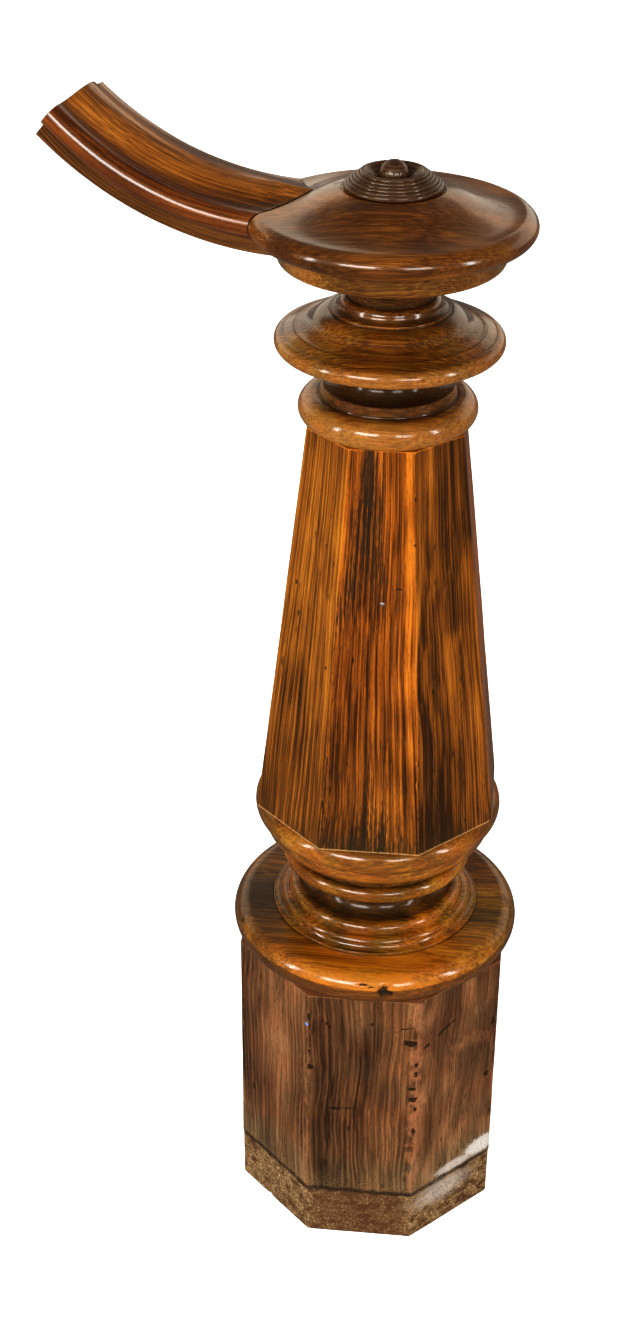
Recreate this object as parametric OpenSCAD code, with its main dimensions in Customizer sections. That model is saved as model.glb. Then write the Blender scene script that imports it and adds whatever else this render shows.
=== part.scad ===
// Octagonal newel post with a turned mitre cap and a short length of moulded handrail.
// Millimetres, +Z up. The origin is on the post's axis, on the underside of the base block.
// The front flat of the post faces -Y. The handrail leaves the cap toward -X and climbs.

/* [Base block] */
// width of the eight-sided block, flat to flat
base_af = 262; // [220:1:320]
// height of the block from the floor to the round cap moulding
base_h = 315; // [240:1:400]

/* [Base ring] */
// diameter of the rounded moulding that caps the block
ring_d = 286; // [240:1:340]
// thickness of that moulding, rounded over its whole edge
ring_t = 32; // [24:1:44]

/* [Lower neck] */
// diameter of the flared foot that stands on the base ring
foot_d = 205.4; // [180:0.2:240]
// height of the flared foot
foot_h = 13.6; // [10:0.2:18]
// height of the upright lip below the foot's curve
foot_lip = 3; // [1:0.5:5]
// diameter of the step bead on the foot
step_d = 174.4; // [160:0.2:178]
// height of the step bead
step_h = 10.2; // [8:0.2:14]
// radius of the step bead's rounded shoulder
step_round = 8; // [4:0.5:8]
// diameter inside the lower hollow, at its narrowest
throat_d = 123.6; // [100:0.2:130]
// height of the lower hollow
throat_h = 30; // [24:0.5:32]
// diameter of the round bead above the hollow
bead_d = 187; // [170:0.5:196]
// thickness of the round bead
bead_t = 16.4; // [12:0.2:20]
// diameter of the plain neck where the cove starts
cove_d = 172; // [150:0.5:176]
// height of the cove between the bead and the ovolo
cove_h = 16.5; // [14:0.5:20]
// radius of the cove
cove_r = 13; // [8:0.5:14]
// diameter at the sharp lower edge of the ovolo
ovolo_d = 201; // [196:0.5:206]
// height of the ovolo
ovolo_h = 19.6; // [16:0.2:24]
// radius of the ovolo's curve
ovolo_r = 16; // [14:0.5:18]
// diameter of the disk the shaft stands on
disk_d = 240.8; // [228:0.2:260]
// thickness of that disk, rounded over its whole edge
disk_t = 25; // [20:0.5:30]

/* [Shaft] */
// width of the tapered shaft at its foot, flat to flat
shaft_foot_af = 227.2; // [200:0.2:236]
// width of the tapered shaft at its head, flat to flat
shaft_head_af = 139.2; // [120:0.2:160]
// height of the shaft
shaft_h = 393.7; // [320:0.1:470]

/* [Upper neck] */
// diameter of the necking ring on the shaft
collar_d = 160.6; // [150:0.2:180]
// thickness of the necking ring
collar_t = 26; // [20:0.5:32]
// diameter at the foot of the sloping band on the necking ring
band_foot_d = 122.4; // [112:0.2:126]
// diameter at the top of the sloping band
band_head_d = 118.8; // [110:0.2:122]
// height of the sloping band
band_h = 9; // [6:0.5:12]
// diameter inside the upper hollow, at its narrowest
waist_d = 88; // [74:0.5:92]
// height of the upper hollow
waist_h = 33; // [26:0.5:36]
// diameter of the wide saucer
saucer_d = 203; // [180:0.5:230]
// thickness of the saucer at its rounded edge
saucer_t = 16; // [12:0.5:20]
// rise of the saucer's top from its edge to the dome
saucer_rise = 4.3; // [2:0.1:7]
// diameter at the foot of the dome on the saucer
dome_d = 166.6; // [150:0.2:176]
// height of the dome
dome_h = 15.2; // [11:0.2:20]
// diameter of the flared foot of the neck
neck_foot_d = 105; // [92:0.5:116]
// height of the small upright edge at the neck's foot
neck_lip = 2.5; // [1:0.5:4]
// height of the neck's flared foot
neck_flare_h = 11; // [8:0.5:14]
// diameter of the neck under the cap
neck_d = 76.8; // [66:0.2:84]
// height of the plain neck
neck_h = 31; // [22:0.5:40]

/* [Mitre cap] */
// diameter of the cap
cap_d = 248; // [200:1:300]
// height of the lower tier of the cap
tier_h = 21.6; // [16:0.2:28]
// how far the lower tier is set in from the cap's edge
tier_in = 22; // [16:0.5:28]
// how much narrower, at each side, the lower tier is at its foot
tier_taper = 3; // [0:0.5:6]
// radius of the rounding at the foot of the lower tier
tier_round = 5; // [2:0.5:7]
// thickness of the rounded edge shared by the cap and the handrail
nose_t = 22; // [16:0.5:26]
// radius at the very front of that rounded edge
nose_tip_r = 9; // [5:0.5:10]
// rise of the cap's top from the rounded edge to its crown
crown_rise = 20.4; // [14:0.2:28]
// diameter of the flat crown of the cap
crown_d = 50; // [20:1:70]
// depth of the shallow seat turned for the rosette
seat_depth = 1.8; // [1:0.1:3]
// clearance around the rosette in its seat
seat_gap = 0.8; // [0.4:0.1:1.5]

/* [Rosette] */
// diameter of the turned rosette button
rosette_d = 87.4; // [70:0.2:100]
// radius of the bead at its foot
foot_bead_r = 2.6; // [2:0.1:3.2]
// number of turned rings on its side
side_rings = 5; // [3:1:7]
// radius of each turned ring
side_ring_r = 2.1; // [1.6:0.1:2.6]
// diameter across the crest of its rim
rim_d = 50; // [42:0.5:60]
// height of the rim above the seat
rim_h = 16.5; // [12:0.5:20]
// depth of the hollow inside the rim
hollow_depth = 9; // [5:0.5:10]
// diameter of the ball in the middle
ball_d = 25; // [18:0.5:30]
// height of the ball's top above the rim
ball_up = 9.3; // [4:0.1:11]

/* [Handrail] */
// width of the handrail
rail_w = 122; // [100:1:148]
// rise of the rail's top from its rounded edges to its crown
rail_crown = 12.5; // [8:0.5:18]
// how far the rail's lower part is set in from its edges
rail_in = 22; // [18:0.5:30]
// height of the rail's lower part
rail_foot_h = 20; // [14:0.5:24]
// how much narrower, at each side, the lower part is at its foot
rail_taper = 4; // [1:0.5:6]
// plan angle of the rail, turned back from the left flat
rail_turn = 14; // [0:0.5:22.5]
// distance from the post's axis to the tip of the mitre
mitre_tip = 72; // [60:0.5:80]
// distance from the post's axis to where the rail starts to climb
rail_level = 95; // [78:1:110]
// radius of the climbing curve, measured at the rounded edges
rail_bend = 290; // [240:1:360]
// angle the rail has turned through at its cut end
rail_sweep = 42.6; // [30:0.2:48]

/* [Hidden] */
$fn = 72;
// heights of the joints and members, each counted up from the floor
z_ring = base_h;
z_foot = z_ring + ring_t;
z_step = z_foot + foot_h;
z_throat = z_step + step_h;
z_bead = z_throat + throat_h;
z_cove = z_bead + bead_t;
z_ovolo = z_cove + cove_h;
z_disk = z_ovolo + ovolo_h;
z_shaft = z_disk + disk_t;
z_collar = z_shaft + shaft_h;
z_band = z_collar + collar_t;
z_waist = z_band + band_h;
z_saucer = z_waist + waist_h;
z_dome = z_saucer + saucer_t + saucer_rise;
z_neck = z_dome + dome_h;
z_flare = z_neck + neck_lip;
z_plain = z_flare + neck_flare_h;
z_cap = z_plain + neck_h;
z_nose = z_cap + tier_h;
z_edge = z_nose + nose_t / 2;
z_crown = z_nose + nose_t + crown_rise;
z_seat = z_crown - seat_depth;
z_rim = z_seat + rim_h;

cap_r = cap_d / 2;
half_rail = rail_w / 2;
// where the rail's side meets the cap's rim, measured along the rail
mitre_root = sqrt(cap_r * cap_r - half_rail * half_rail);
// how fast the mitre opens for each unit along the rail
mitre_flare = half_rail / (mitre_root - mitre_tip);
// radius of the lower hollow, which takes up its whole height
throat_r = throat_h / 2;
// radius of the upper hollow, which leaves a short upright under the saucer
waist_upright = 3;
waist_r = (waist_h - waist_upright) / 2;
// share of its radius that the ovolo's centre stands in from its lower edge
ovolo_inset = 0.3;
ovolo_mid = ovolo_d / 2 - ovolo_r * ovolo_inset;
// the rounded edge blends into wider shoulders at this angle from level
nose_blend = 30;
nose_shoulder_r = (nose_t / 2 - nose_tip_r * sin(nose_blend)) / (1 - sin(nose_blend));
nose_shift = nose_shoulder_r - nose_tip_r;
// depth of the rounded edge, from its front to where its shoulders are level
nose_depth = nose_tip_r + nose_shift * cos(nose_blend);
// overlap that keeps joined outlines whole
lap = 1;

// corner radius of an eight-sided figure of the given width across flats
function oct_r(af) = af / 2 / cos(22.5);
// angle of each of the two equal curves of an ogee with level ends
function ogee_angle(run, rise) = 2 * atan(rise / run);
// radius of each of those curves
function ogee_r(run, rise) = run / sin(ogee_angle(run, rise)) / 2;

// outline of a plain turned length from the axis out to radius r
module plain(r, z, h) {
  translate([0, z]) square([r, h]);
}

// outline of a full half-round edge of the given overall radius and thickness
module half_round(r, z, t) {
  plain(r - t / 2, z, t);
  translate([r - t / 2, z + t / 2]) circle(r = t / 2);
}

// outline of an ogee that is level at both ends: high at r_top, low at r_foot
module ogee(r_top, r_foot, z, rise) {
  run = r_foot - r_top;
  r = ogee_r(run, rise);
  plain(r_top + lap, z, rise);
  plain(r_top + run / 2, z, rise / 2);
  intersection() {
    translate([r_top, z + rise - r]) circle(r = r);
    translate([r_top, z]) square([run / 2, rise]);
  }
  difference() {
    translate([r_top + run / 2 - lap, z]) square([run / 2 + lap, rise / 2]);
    translate([r_foot, z + r]) circle(r = r);
  }
}

// outline of the cap's rounded edge, its front at distance x and its middle at height z
module nose(x, z) {
  root = x - nose_depth;
  front = nose_shoulder_r * cos(nose_blend);
  drop = nose_shift * sin(nose_blend);
  translate([x - nose_tip_r, z]) circle(r = nose_tip_r);
  intersection() {
    translate([root, z - drop]) circle(r = nose_shoulder_r);
    translate([root, z + drop]) circle(r = nose_shoulder_r);
    translate([root - lap, z - nose_t]) square([front + lap, nose_t * 2]);
  }
}

// turns an outline about the post's axis, keeping only its outer half
module turned() {
  rotate_extrude() intersection() {
    square([cap_d, z_rim * 2]);
    children();
  }
}

module base_block() {
  color("saddlebrown") rotate([0, 0, 22.5]) linear_extrude(height = base_h) {
    circle(r = oct_r(base_af), $fn = 8);
  }
}

module base_ring() {
  color("sienna") turned() half_round(ring_d / 2, z_ring, ring_t);
}

module lower_neck() {
  color("peru") turned() {
    plain(foot_d / 2, z_foot, foot_lip);
    ogee(step_d / 2, foot_d / 2, z_foot + foot_lip, foot_h - foot_lip);
    step_mid = z_throat - step_round;
    plain(step_d / 2 - step_round, z_step - lap, step_h + lap);
    translate([step_d / 2 - step_round, step_mid]) circle(r = step_round);
    difference() {
      plain(throat_d / 2 + throat_r, z_throat - lap, throat_h + 2 * lap);
      translate([throat_d / 2 + throat_r, z_throat + throat_r]) circle(r = throat_r);
    }
    half_round(bead_d / 2, z_bead, bead_t);
    plain(cove_d / 2, z_cove - lap, cove_h + lap);
    difference() {
      plain(cove_d / 2 + cove_r, z_ovolo - cove_r, cove_r);
      translate([cove_d / 2 + cove_r, z_ovolo - cove_r]) circle(r = cove_r);
    }
    ovolo_rise = sqrt(ovolo_r * ovolo_r - pow(ovolo_d / 2 - ovolo_mid, 2));
    plain(ovolo_mid, z_ovolo, ovolo_h + lap);
    intersection() {
      translate([ovolo_mid, z_ovolo + ovolo_rise]) circle(r = ovolo_r);
      plain(disk_d / 2, z_ovolo, ovolo_h + lap);
    }
    half_round(disk_d / 2, z_disk, disk_t);
  }
}
module shaft() {
  color("chocolate") translate([0, 0, z_shaft]) rotate([0, 0, 22.5]) {
    cylinder(h = shaft_h, r1 = oct_r(shaft_foot_af), r2 = oct_r(shaft_head_af), $fn = 8);
  }
}

module upper_neck() {
  color("peru") turned() {
    half_round(collar_d / 2, z_collar, collar_t);
    polygon([
      [0, z_band - lap],
      [band_foot_d / 2, z_band - lap],
      [band_foot_d / 2, z_band],
      [band_head_d / 2, z_waist],
      [0, z_waist]
    ]);
    difference() {
      plain(waist_d / 2 + waist_r, z_waist - lap, waist_h + lap * 2);
      translate([waist_d / 2 + waist_r, z_waist + waist_r]) circle(r = waist_r);
    }
    half_round(saucer_d / 2, z_saucer, saucer_t);
    polygon([
      [0, z_dome - saucer_rise - lap],
      [saucer_d / 2 - saucer_t / 2, z_dome - saucer_rise - lap],
      [saucer_d / 2 - saucer_t / 2, z_dome - saucer_rise],
      [dome_d / 2, z_dome],
      [0, z_dome]
    ]);
    ogee(neck_foot_d / 2, dome_d / 2, z_dome, dome_h);
    plain(neck_foot_d / 2, z_neck - lap, neck_lip + lap);
    ogee(neck_d / 2, neck_foot_d / 2, z_flare, neck_flare_h);
    plain(neck_d / 2, z_plain - lap, neck_h + lap);
  }
}

// the V-shaped end of the handrail, seen from above, as tall as it needs to be
module mitre_wedge() {
  reach = rail_level + rail_bend + rail_w;
  spread = (reach - mitre_tip) * mitre_flare;
  rotate([0, 0, 180 - rail_turn]) translate([0, 0, z_cap - lap]) {
    linear_extrude(height = rail_level + rail_bend) {
      polygon([[mitre_tip, 0], [reach, -spread], [reach, spread]]);
    }
  }
}

module cap_outline() {
  tier_top = cap_r - tier_in;
  tier_foot = tier_top - tier_taper;
  translate([tier_foot - tier_round, z_cap + tier_round]) circle(r = tier_round);
  plain(tier_foot - tier_round, z_cap, tier_h + lap);
  polygon([
    [0, z_cap + tier_round],
    [tier_foot, z_cap + tier_round],
    [tier_top, z_nose + lap],
    [0, z_nose + lap]
  ]);
  plain(cap_r - nose_depth, z_nose, nose_t);
  nose(cap_r, z_edge);
  ogee(crown_d / 2, cap_r - nose_depth, z_nose + nose_t, crown_rise);
}

module mitre_cap() {
  color("sienna") difference() {
    turned() cap_outline();
    translate([0, 0, z_seat]) cylinder(h = rim_h, r = rosette_d / 2 + seat_gap);
    mitre_wedge();
  }
}

module rosette() {
  wall_foot = [rosette_d / 2 - foot_bead_r - side_ring_r, z_seat + foot_bead_r * 2];
  wall_head = [rim_d / 2 + side_ring_r, z_rim - side_ring_r];
  ball_z = z_rim + ball_up - ball_d / 2;
  color("brown") union() {
    turned() {
      half_round(rosette_d / 2, z_seat, foot_bead_r * 2);
      difference() {
        union() {
          polygon([
            [0, z_seat + foot_bead_r],
            [wall_foot[0], z_seat + foot_bead_r],
            wall_foot,
            wall_head,
            [rim_d / 2, z_rim],
            [0, z_rim]
          ]);
          for (i = [0 : side_rings - 1]) {
            translate(wall_foot + (wall_head - wall_foot) * i / (side_rings - 1)) {
              circle(r = side_ring_r);
            }
          }
        }
        polygon([
          [0, z_rim - hollow_depth],
          [ball_d / 2 + lap, z_rim - hollow_depth],
          [rim_d / 2, z_rim],
          [rim_d / 2, z_rim + lap],
          [0, z_rim + lap]
        ]);
      }
    }
    translate([0, 0, ball_z]) sphere(d = ball_d);
  }
}

// section of the handrail, level with its rounded edges, crown up
module rail_section() {
  edge = half_rail - nose_t / 2;
  foot_top = half_rail - rail_in;
  curve_r = ogee_r(edge, rail_crown);
  top = nose_t / 2;
  mid = top + rail_crown / 2;
  square([edge * 2, nose_t], center = true);
  translate([-edge / 2, 0]) square([edge, mid]);
  intersection() {
    translate([0, top + rail_crown - curve_r]) circle(r = curve_r);
    translate([-edge / 2, 0]) square([edge, top + rail_crown + lap]);
  }
  slope_mid = (edge * 1.5 - lap) / 2;
  for (side = [-1, 1]) {
    translate([side * edge, 0]) circle(r = top);
    difference() {
      translate([side * slope_mid, mid / 2]) square([edge / 2 + lap, mid], center = true);
      translate([side * edge, top + curve_r]) circle(r = curve_r);
    }
  }
  polygon([
    [rail_taper - foot_top, -top - rail_foot_h],
    [foot_top - rail_taper, -top - rail_foot_h],
    [foot_top, lap - top],
    [-foot_top, lap - top]
  ]);
}

module handrail() {
  color("chocolate") intersection() {
    mitre_wedge();
    rotate([0, 0, 180 - rail_turn]) translate([0, 0, z_edge]) union() {
      rotate([90, 0, 90]) linear_extrude(height = rail_level) rail_section();
      translate([rail_level, 0, rail_bend]) rotate([90, 90, 0]) {
        rotate_extrude(angle = rail_sweep) translate([rail_bend, 0]) rotate(90) rail_section();
      }
    }
  }
}

base_block();
base_ring();
lower_neck();
shaft();
upper_neck();
mitre_cap();
rosette();
handrail();
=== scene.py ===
# %% [markdown]
# # A newel post with its mitre cap and the start of a handrail
# A newel post is the large post where a stair's handrail ends. This one is polished mahogany:
# an eight-sided block, a turned neck, a tapered eight-sided shaft, a second turned neck, and a
# round cap with a rosette button. The handrail meets the cap in a V-shaped mitre. The CAD model
# fixes every size, so the lesson is about skin: how each piece is shaped finely and finished.

# %% Load the fixed frame
import math

import bmesh
import bpy
import numpy as np
from mathutils import Matrix, Vector, noise


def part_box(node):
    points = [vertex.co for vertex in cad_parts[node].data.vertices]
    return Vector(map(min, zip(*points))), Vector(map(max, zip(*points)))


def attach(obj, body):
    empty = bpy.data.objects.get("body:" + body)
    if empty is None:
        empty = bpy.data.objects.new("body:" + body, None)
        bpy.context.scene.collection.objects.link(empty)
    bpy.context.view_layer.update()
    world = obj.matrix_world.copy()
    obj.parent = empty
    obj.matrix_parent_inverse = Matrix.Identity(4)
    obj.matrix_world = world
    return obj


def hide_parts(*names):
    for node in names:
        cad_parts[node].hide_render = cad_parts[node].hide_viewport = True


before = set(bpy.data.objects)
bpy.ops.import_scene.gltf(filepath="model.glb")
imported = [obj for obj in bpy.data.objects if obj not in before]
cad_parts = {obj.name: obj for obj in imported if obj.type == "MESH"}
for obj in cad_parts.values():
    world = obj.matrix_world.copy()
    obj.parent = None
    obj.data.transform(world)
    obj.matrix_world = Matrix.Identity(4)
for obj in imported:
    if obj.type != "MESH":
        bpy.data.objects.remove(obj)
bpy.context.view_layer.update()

MM = 0.001


# %% [markdown]
# ## The view
# The camera stands at eye height, a stride and a half away, and looks down on the post. It is
# built from three plain angles, so each can be changed by itself.

# %% Camera
EYE = Vector((0.1075, -1.7086, 1.6302))
TURN, TILT, LEAN = math.radians(-5.9), math.radians(30.54), math.radians(0.35)
level = Vector((math.cos(TURN), -math.sin(TURN), 0))
ahead = Vector((math.sin(TURN) * math.cos(TILT), math.cos(TURN) * math.cos(TILT), -math.sin(TILT)))
upward = level.cross(ahead)
across = level * math.cos(LEAN) + upward * math.sin(LEAN)
upright = upward * math.cos(LEAN) - level * math.sin(LEAN)

lens = bpy.data.cameras.new("view")
lens.lens, lens.clip_end = 56.87, 50
camera = bpy.data.objects.new("view", lens)
camera.matrix_world = Matrix.LocRotScale(
    EYE, Matrix((across, upright, -ahead)).transposed().to_quaternion(), None
)
bpy.context.scene.collection.objects.link(camera)
bpy.context.scene.camera = camera
print("camera looks", [round(v, 3) for v in ahead])


# %% [markdown]
# ## The studio
# A pale floor runs far past the view. Gloss on turned wood only shows if there is something
# bright to mirror, so two soft boxes and two narrow strips stand in front, and two wide warm boxes
# stand behind, where the cap mirrors them as a milky sheen. A broad box hangs overhead. Neither it
# nor the floor is mirrored, because that would lay a grey veil over the grain. The world is dim
# where it lights the wood, and white where it is looked at directly.

# %% Floor
floor_mesh = bpy.data.meshes.new("floor")
floor_mesh.from_pydata([(-30, -30, 0), (30, -30, 0), (30, 30, 0), (-30, 30, 0)], [], [(0, 1, 2, 3)])
pale = bpy.data.materials.new("pale floor")
pale.use_nodes = True
for label, value in {"Base Color": (0.9, 0.9, 0.9, 1), "Roughness": 0.9,
                     "Emission Color": (1, 1, 1, 1), "Emission Strength": 0.55}.items():
    pale.node_tree.nodes["Principled BSDF"].inputs[label].default_value = value
floor_mesh.materials.append(pale)
floor = bpy.data.objects.new("floor", floor_mesh)
floor.visible_glossy = False
bpy.context.scene.collection.objects.link(floor)
print("floor is", round(floor.dimensions.x), "metres wide")


# %% Lights
def soft_box(name, at, aim, width, height, power, tint):
    light = bpy.data.lights.new(name, "AREA")
    light.shape, light.size, light.size_y, light.energy = "RECTANGLE", width, height, power
    light.color = tint
    lamp = bpy.data.objects.new(name, light)
    lamp.location = at
    lamp.rotation_euler = (Vector(aim) - Vector(at)).to_track_quat("-Z", "Y").to_euler()
    bpy.context.scene.collection.objects.link(lamp)
    return lamp


MIDDLE, WHITE, WARM = (0, 0, 0.6), (1, 1, 1), (1.0, 0.87, 0.70)
soft_box("key soft box", (-0.95, -2.3, 2.0), MIDDLE, 1.25, 0.8, 48, WHITE)
soft_box("fill soft box", (1.0, -2.3, 1.8), MIDDLE, 0.9, 0.8, 22, WHITE)
soft_box("left strip", (-2.1, -1.2, 1.5), MIDDLE, 0.25, 1.1, 17, WHITE)
soft_box("right strip", (2.1, -1.0, 1.5), MIDDLE, 0.25, 1.1, 15, WHITE)
soft_box("back right soft box", (2.2, 2.9, 2.0), MIDDLE, 4.4, 2.0, 26, WARM)
soft_box("back left soft box", (-2.2, 2.9, 2.0), MIDDLE, 4.4, 2.0, 26, WARM)
overhead = soft_box("overhead soft box", (0, 2.5, 5), (0, 2.5, 0), 10, 12, 190, WHITE)
overhead.visible_glossy = False

world = bpy.data.worlds.new("pale room")
world.use_nodes = True
world.node_tree.nodes["Background"].inputs["Color"].default_value = (1, 1, 1, 1)
looked_at = world.node_tree.nodes.new("ShaderNodeLightPath").outputs["Is Camera Ray"]
strength = world.node_tree.nodes.new("ShaderNodeMapRange")
strength.inputs["To Min"].default_value, strength.inputs["To Max"].default_value = 0.12, 1.0
world.node_tree.links.new(looked_at, strength.inputs["Value"])
world.node_tree.links.new(strength.outputs["Result"], world.node_tree.nodes["Background"].inputs["Strength"])
bpy.context.scene.world = world
bpy.context.scene.view_settings.view_transform = "Standard"
bpy.context.scene.view_settings.look = "High Contrast"


# %% [markdown]
# ## Skins from rows of points
# Every piece here is either turned, or has the same outline all the way along. Both are rows of
# points joined by four-sided faces. One helper joins them, drops doubled points and marks sharp
# edges, so the arrises that the turner left stay crisp while the curves stay smooth.

# %% Helper: skin
def skin(name, rows, closed=True, caps=(), sharp=35):
    """Rows of points in mm become a mesh; edges that turn more than sharp degrees stay crisp."""
    rows = np.asarray(rows, float)
    count, around = rows.shape[:2]
    steps = np.arange(around if closed else around - 1)
    row, here = np.meshgrid(np.arange(count - 1), steps, indexing="ij")
    after = (here + 1) % around
    low, high = row * around, (row + 1) * around
    faces = np.stack([low + here, low + after, high + after, high + here], -1)
    mesh = bpy.data.meshes.new(name)
    mesh.from_pydata((rows.reshape(-1, 3) * MM).tolist(), [], faces.reshape(-1, 4).tolist() + list(caps))
    work = bmesh.new()
    work.from_mesh(mesh)
    bmesh.ops.remove_doubles(work, verts=work.verts, dist=2e-6)
    bmesh.ops.recalc_face_normals(work, faces=work.faces)
    work.to_mesh(mesh)
    work.free()
    mesh.shade_smooth()
    mesh.set_sharp_from_angle(angle=math.radians(sharp))
    piece = bpy.data.objects.new(name, mesh)
    bpy.context.scene.collection.objects.link(piece)
    return piece


def points_of(piece):
    found = np.empty(len(piece.data.vertices) * 3)
    piece.data.vertices.foreach_get("co", found)
    return found.reshape(-1, 3)


def normals_of(piece):
    found = np.empty(len(piece.data.vertices) * 3, np.float32)
    piece.data.vertex_normals.foreach_get("vector", found)
    return found.reshape(-1, 3).astype(float)


# %% [markdown]
# ## Outlines a turner would cut
# A turned outline is a walk upward from the floor: beads, coves, ogees and plain steps. Each
# helper returns its own short run of points, in millimetres, as (radius, height).

# %% Helpers: turned members
def arc(radius_at, height_at, size, start, end, steps=14):
    sweep = np.radians(np.linspace(start, end, steps + 1))
    return [(radius_at + size * math.cos(a), height_at + size * math.sin(a)) for a in sweep]


def steps_to(a, b, count):
    return [(a[0] + (b[0] - a[0]) * t / count, a[1] + (b[1] - a[1]) * t / count) for t in range(count + 1)]


def line(a, b, step=1.5):
    return steps_to(a, b, max(1, round(math.dist(a, b) / step)))


def half_round(radius, low, thick, steps=26):
    return arc(radius - thick / 2, low + thick / 2, thick / 2, -90, 90, steps)


def hollow(radius, low, high, steps=26):
    size = (high - low) / 2
    return arc(radius + size, low + size, size, 270, 90, steps)


def ogee(outer, inner, low, high, steps=12):
    run, rise = outer - inner, high - low
    sweep = math.degrees(2 * math.atan(rise / run))
    size = run / math.sin(math.radians(sweep)) / 2
    foot = arc(outer, low + size, size, 270, 270 - sweep, steps)
    head = arc(inner, high - size, size, 90 - sweep, 90, steps)
    return foot + head


def thinned(outline):
    """Leaves out each point that lies on top of the one before."""
    return [p for n, p in enumerate(outline) if n == 0 or math.dist(p, outline[n - 1]) > 0.05]


def turned(name, outline, lift=0, around=288):
    """Spins an outline round the post's axis, with its own zero at that height."""
    profile = np.array(thinned(outline)) + (0, lift)
    spin = np.linspace(0, math.tau, around, endpoint=False)
    rows = np.stack([profile[:, :1] * np.cos(spin), profile[:, :1] * np.sin(spin),
                     np.repeat(profile[:, 1:], around, 1)], -1)
    return skin(name, rows)


def spot_at(degrees, radius, height):
    """A point in mm, that far from the axis and turned that many degrees from +X."""
    turn = math.radians(degrees)
    return [radius * math.cos(turn), radius * math.sin(turn), height]


print("a half round takes", len(half_round(50, 0, 16)), "points")


# %% [markdown]
# ## Age: hand-made wobble, knocks, dirt, painted shade and rubbed edges
# No turned bead is a perfect ring, and a century of shoes and trays has knocked this post. The
# wobble and the dents are real movement of the mesh. Dirt settles in hollows and polish wears
# off ridges, so a second helper compares each point with the average of its neighbours: a point
# below it is a crevice and a point above it is rubbed. Both are stored as attributes that the
# materials read. The materials darken a crevice as dirt and also as painted shade.

# %% Helpers: attributes, wobble and knocks
def read(piece, name):
    found = np.empty(len(piece.data.vertices), np.float32)
    piece.data.attributes[name].data.foreach_get("value", found)
    return found


def store(piece, name, values):
    """Keeps the larger value where the attribute is there already."""
    attributes = piece.data.attributes
    if name in attributes:
        values = np.maximum(values, read(piece, name))
        attributes.remove(attributes[name])
    attributes.new(name, "FLOAT", "POINT").data.foreach_set("value", np.asarray(values, np.float32))


def mottle(at, size, seed=0.0):
    return np.array([noise.noise(Vector(p) / size + Vector((seed, 0, 0))) for p in at])


def wobble(piece, height=0.12, size=28):
    at = points_of(piece)
    lift = np.array([noise.noise(Vector(p) * (1000 / size)) for p in at])
    piece.data.vertices.foreach_set("co", (at + normals_of(piece) * lift[:, None] * height * MM).ravel())


def knock(piece, knocks):
    """Each knock is (place, across, depth, which way it runs, how far), in mm."""
    at, out = points_of(piece), normals_of(piece)
    bruise = np.zeros(len(at))
    moved = at.copy()
    ragged = np.array([noise.noise(Vector(p) * 420) for p in at]) * 0.35
    for place, size, depth, way, run in knocks:
        reach = at - np.array(place) * MM
        along = reach @ np.array(Vector(way).normalized())
        aside = np.maximum((reach**2).sum(1) - along**2, 0)
        gap = np.sqrt((along / (run * MM)) ** 2 + aside / (size * MM) ** 2) + ragged
        press = np.clip(1.25 - gap, 0, 1)
        press = press**2 * (3 - 2 * press)
        moved -= out * (press * depth * MM)[:, None]
        bruise = np.maximum(bruise, press)
    piece.data.vertices.foreach_set("co", moved.ravel())
    store(piece, "bruise", bruise)


print("the noise at one place is", round(mottle([(1, 2, 3)], 28)[0], 3))

# %% Helpers: crevices, rubbed edges and grain direction
def settle_age(piece, joints=(), reach=30, full=0.5):
    """Joints are (radius, height) where two members meet; full is the relief in mm that counts as 1."""
    at, out = points_of(piece), normals_of(piece)
    ends = np.empty(len(piece.data.edges) * 2, np.int32)
    piece.data.edges.foreach_get("vertices", ends)
    a, b = ends.reshape(-1, 2).T
    tally = np.maximum(np.bincount(a, minlength=len(at)) + np.bincount(b, minlength=len(at)), 1)
    mean = at.copy()
    for _ in range(reach):
        sums = [np.bincount(a, mean[b, c], len(at)) + np.bincount(b, mean[a, c], len(at)) for c in range(3)]
        mean = np.stack([total / tally for total in sums], 1)
    above = ((at - mean) * out).sum(1) / MM
    radius = np.hypot(at[:, 0], at[:, 1])
    seam = np.zeros(len(at))
    for joint_radius, joint_height in joints:
        gap = np.hypot(radius - joint_radius * MM, at[:, 2] - joint_height * MM) / MM
        seam = np.maximum(seam, np.exp(-((gap / 1.6) ** 2)))
    # Crevice marks low points; the materials darken them as dirt and as painted shade.
    store(piece, "crevice", np.maximum(np.clip(-above / full, 0, 1), seam))
    store(piece, "rubbed", np.clip(above / full / 2.2 - 0.1, 0, 1))


def lay_grain(piece, at):
    """The attribute grain_at holds each point's place in the plank, with its grain along z."""
    made = piece.data.attributes.new("grain_at", "FLOAT_VECTOR", "POINT")
    made.data.foreach_set("vector", at.astype(np.float32).ravel())


def lay_level_grain(piece, shift=0.0):
    """Turned from a plank that lies across the post, so its end grain shows at two sides."""
    x, y, z = points_of(piece).T
    lay_grain(piece, np.stack([y, z, x + shift], 1))


def facing(at, degrees, spread=30):
    """1 for points on the side of the post that faces that way, falling off to both sides."""
    off = (np.degrees(np.arctan2(at[:, 1], at[:, 0])) - degrees + 180) % 360 - 180
    return np.exp(-((off / spread) ** 2))


def uneven(piece, fading_and_painted_light, olive=None, sooty=None):
    """Wood fades, yellows and blackens unevenly, and painted light and shade ride on the fading: each amount
    is worked out from points in mm.
    """
    at = points_of(piece) / MM
    for name, rule in (("fading_and_painted_light", fading_and_painted_light), ("olive", olive), ("sooty", sooty)):
        store(piece, name, rule(at) if rule else np.zeros(len(at)))


def hand_over(piece, node, material):
    """The piece takes the place of its CAD node, and rides with the post."""
    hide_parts(node)
    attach(piece, "root")
    piece.data.materials.append(material)
    print(piece.name, len(piece.data.polygons), "faces")


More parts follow.
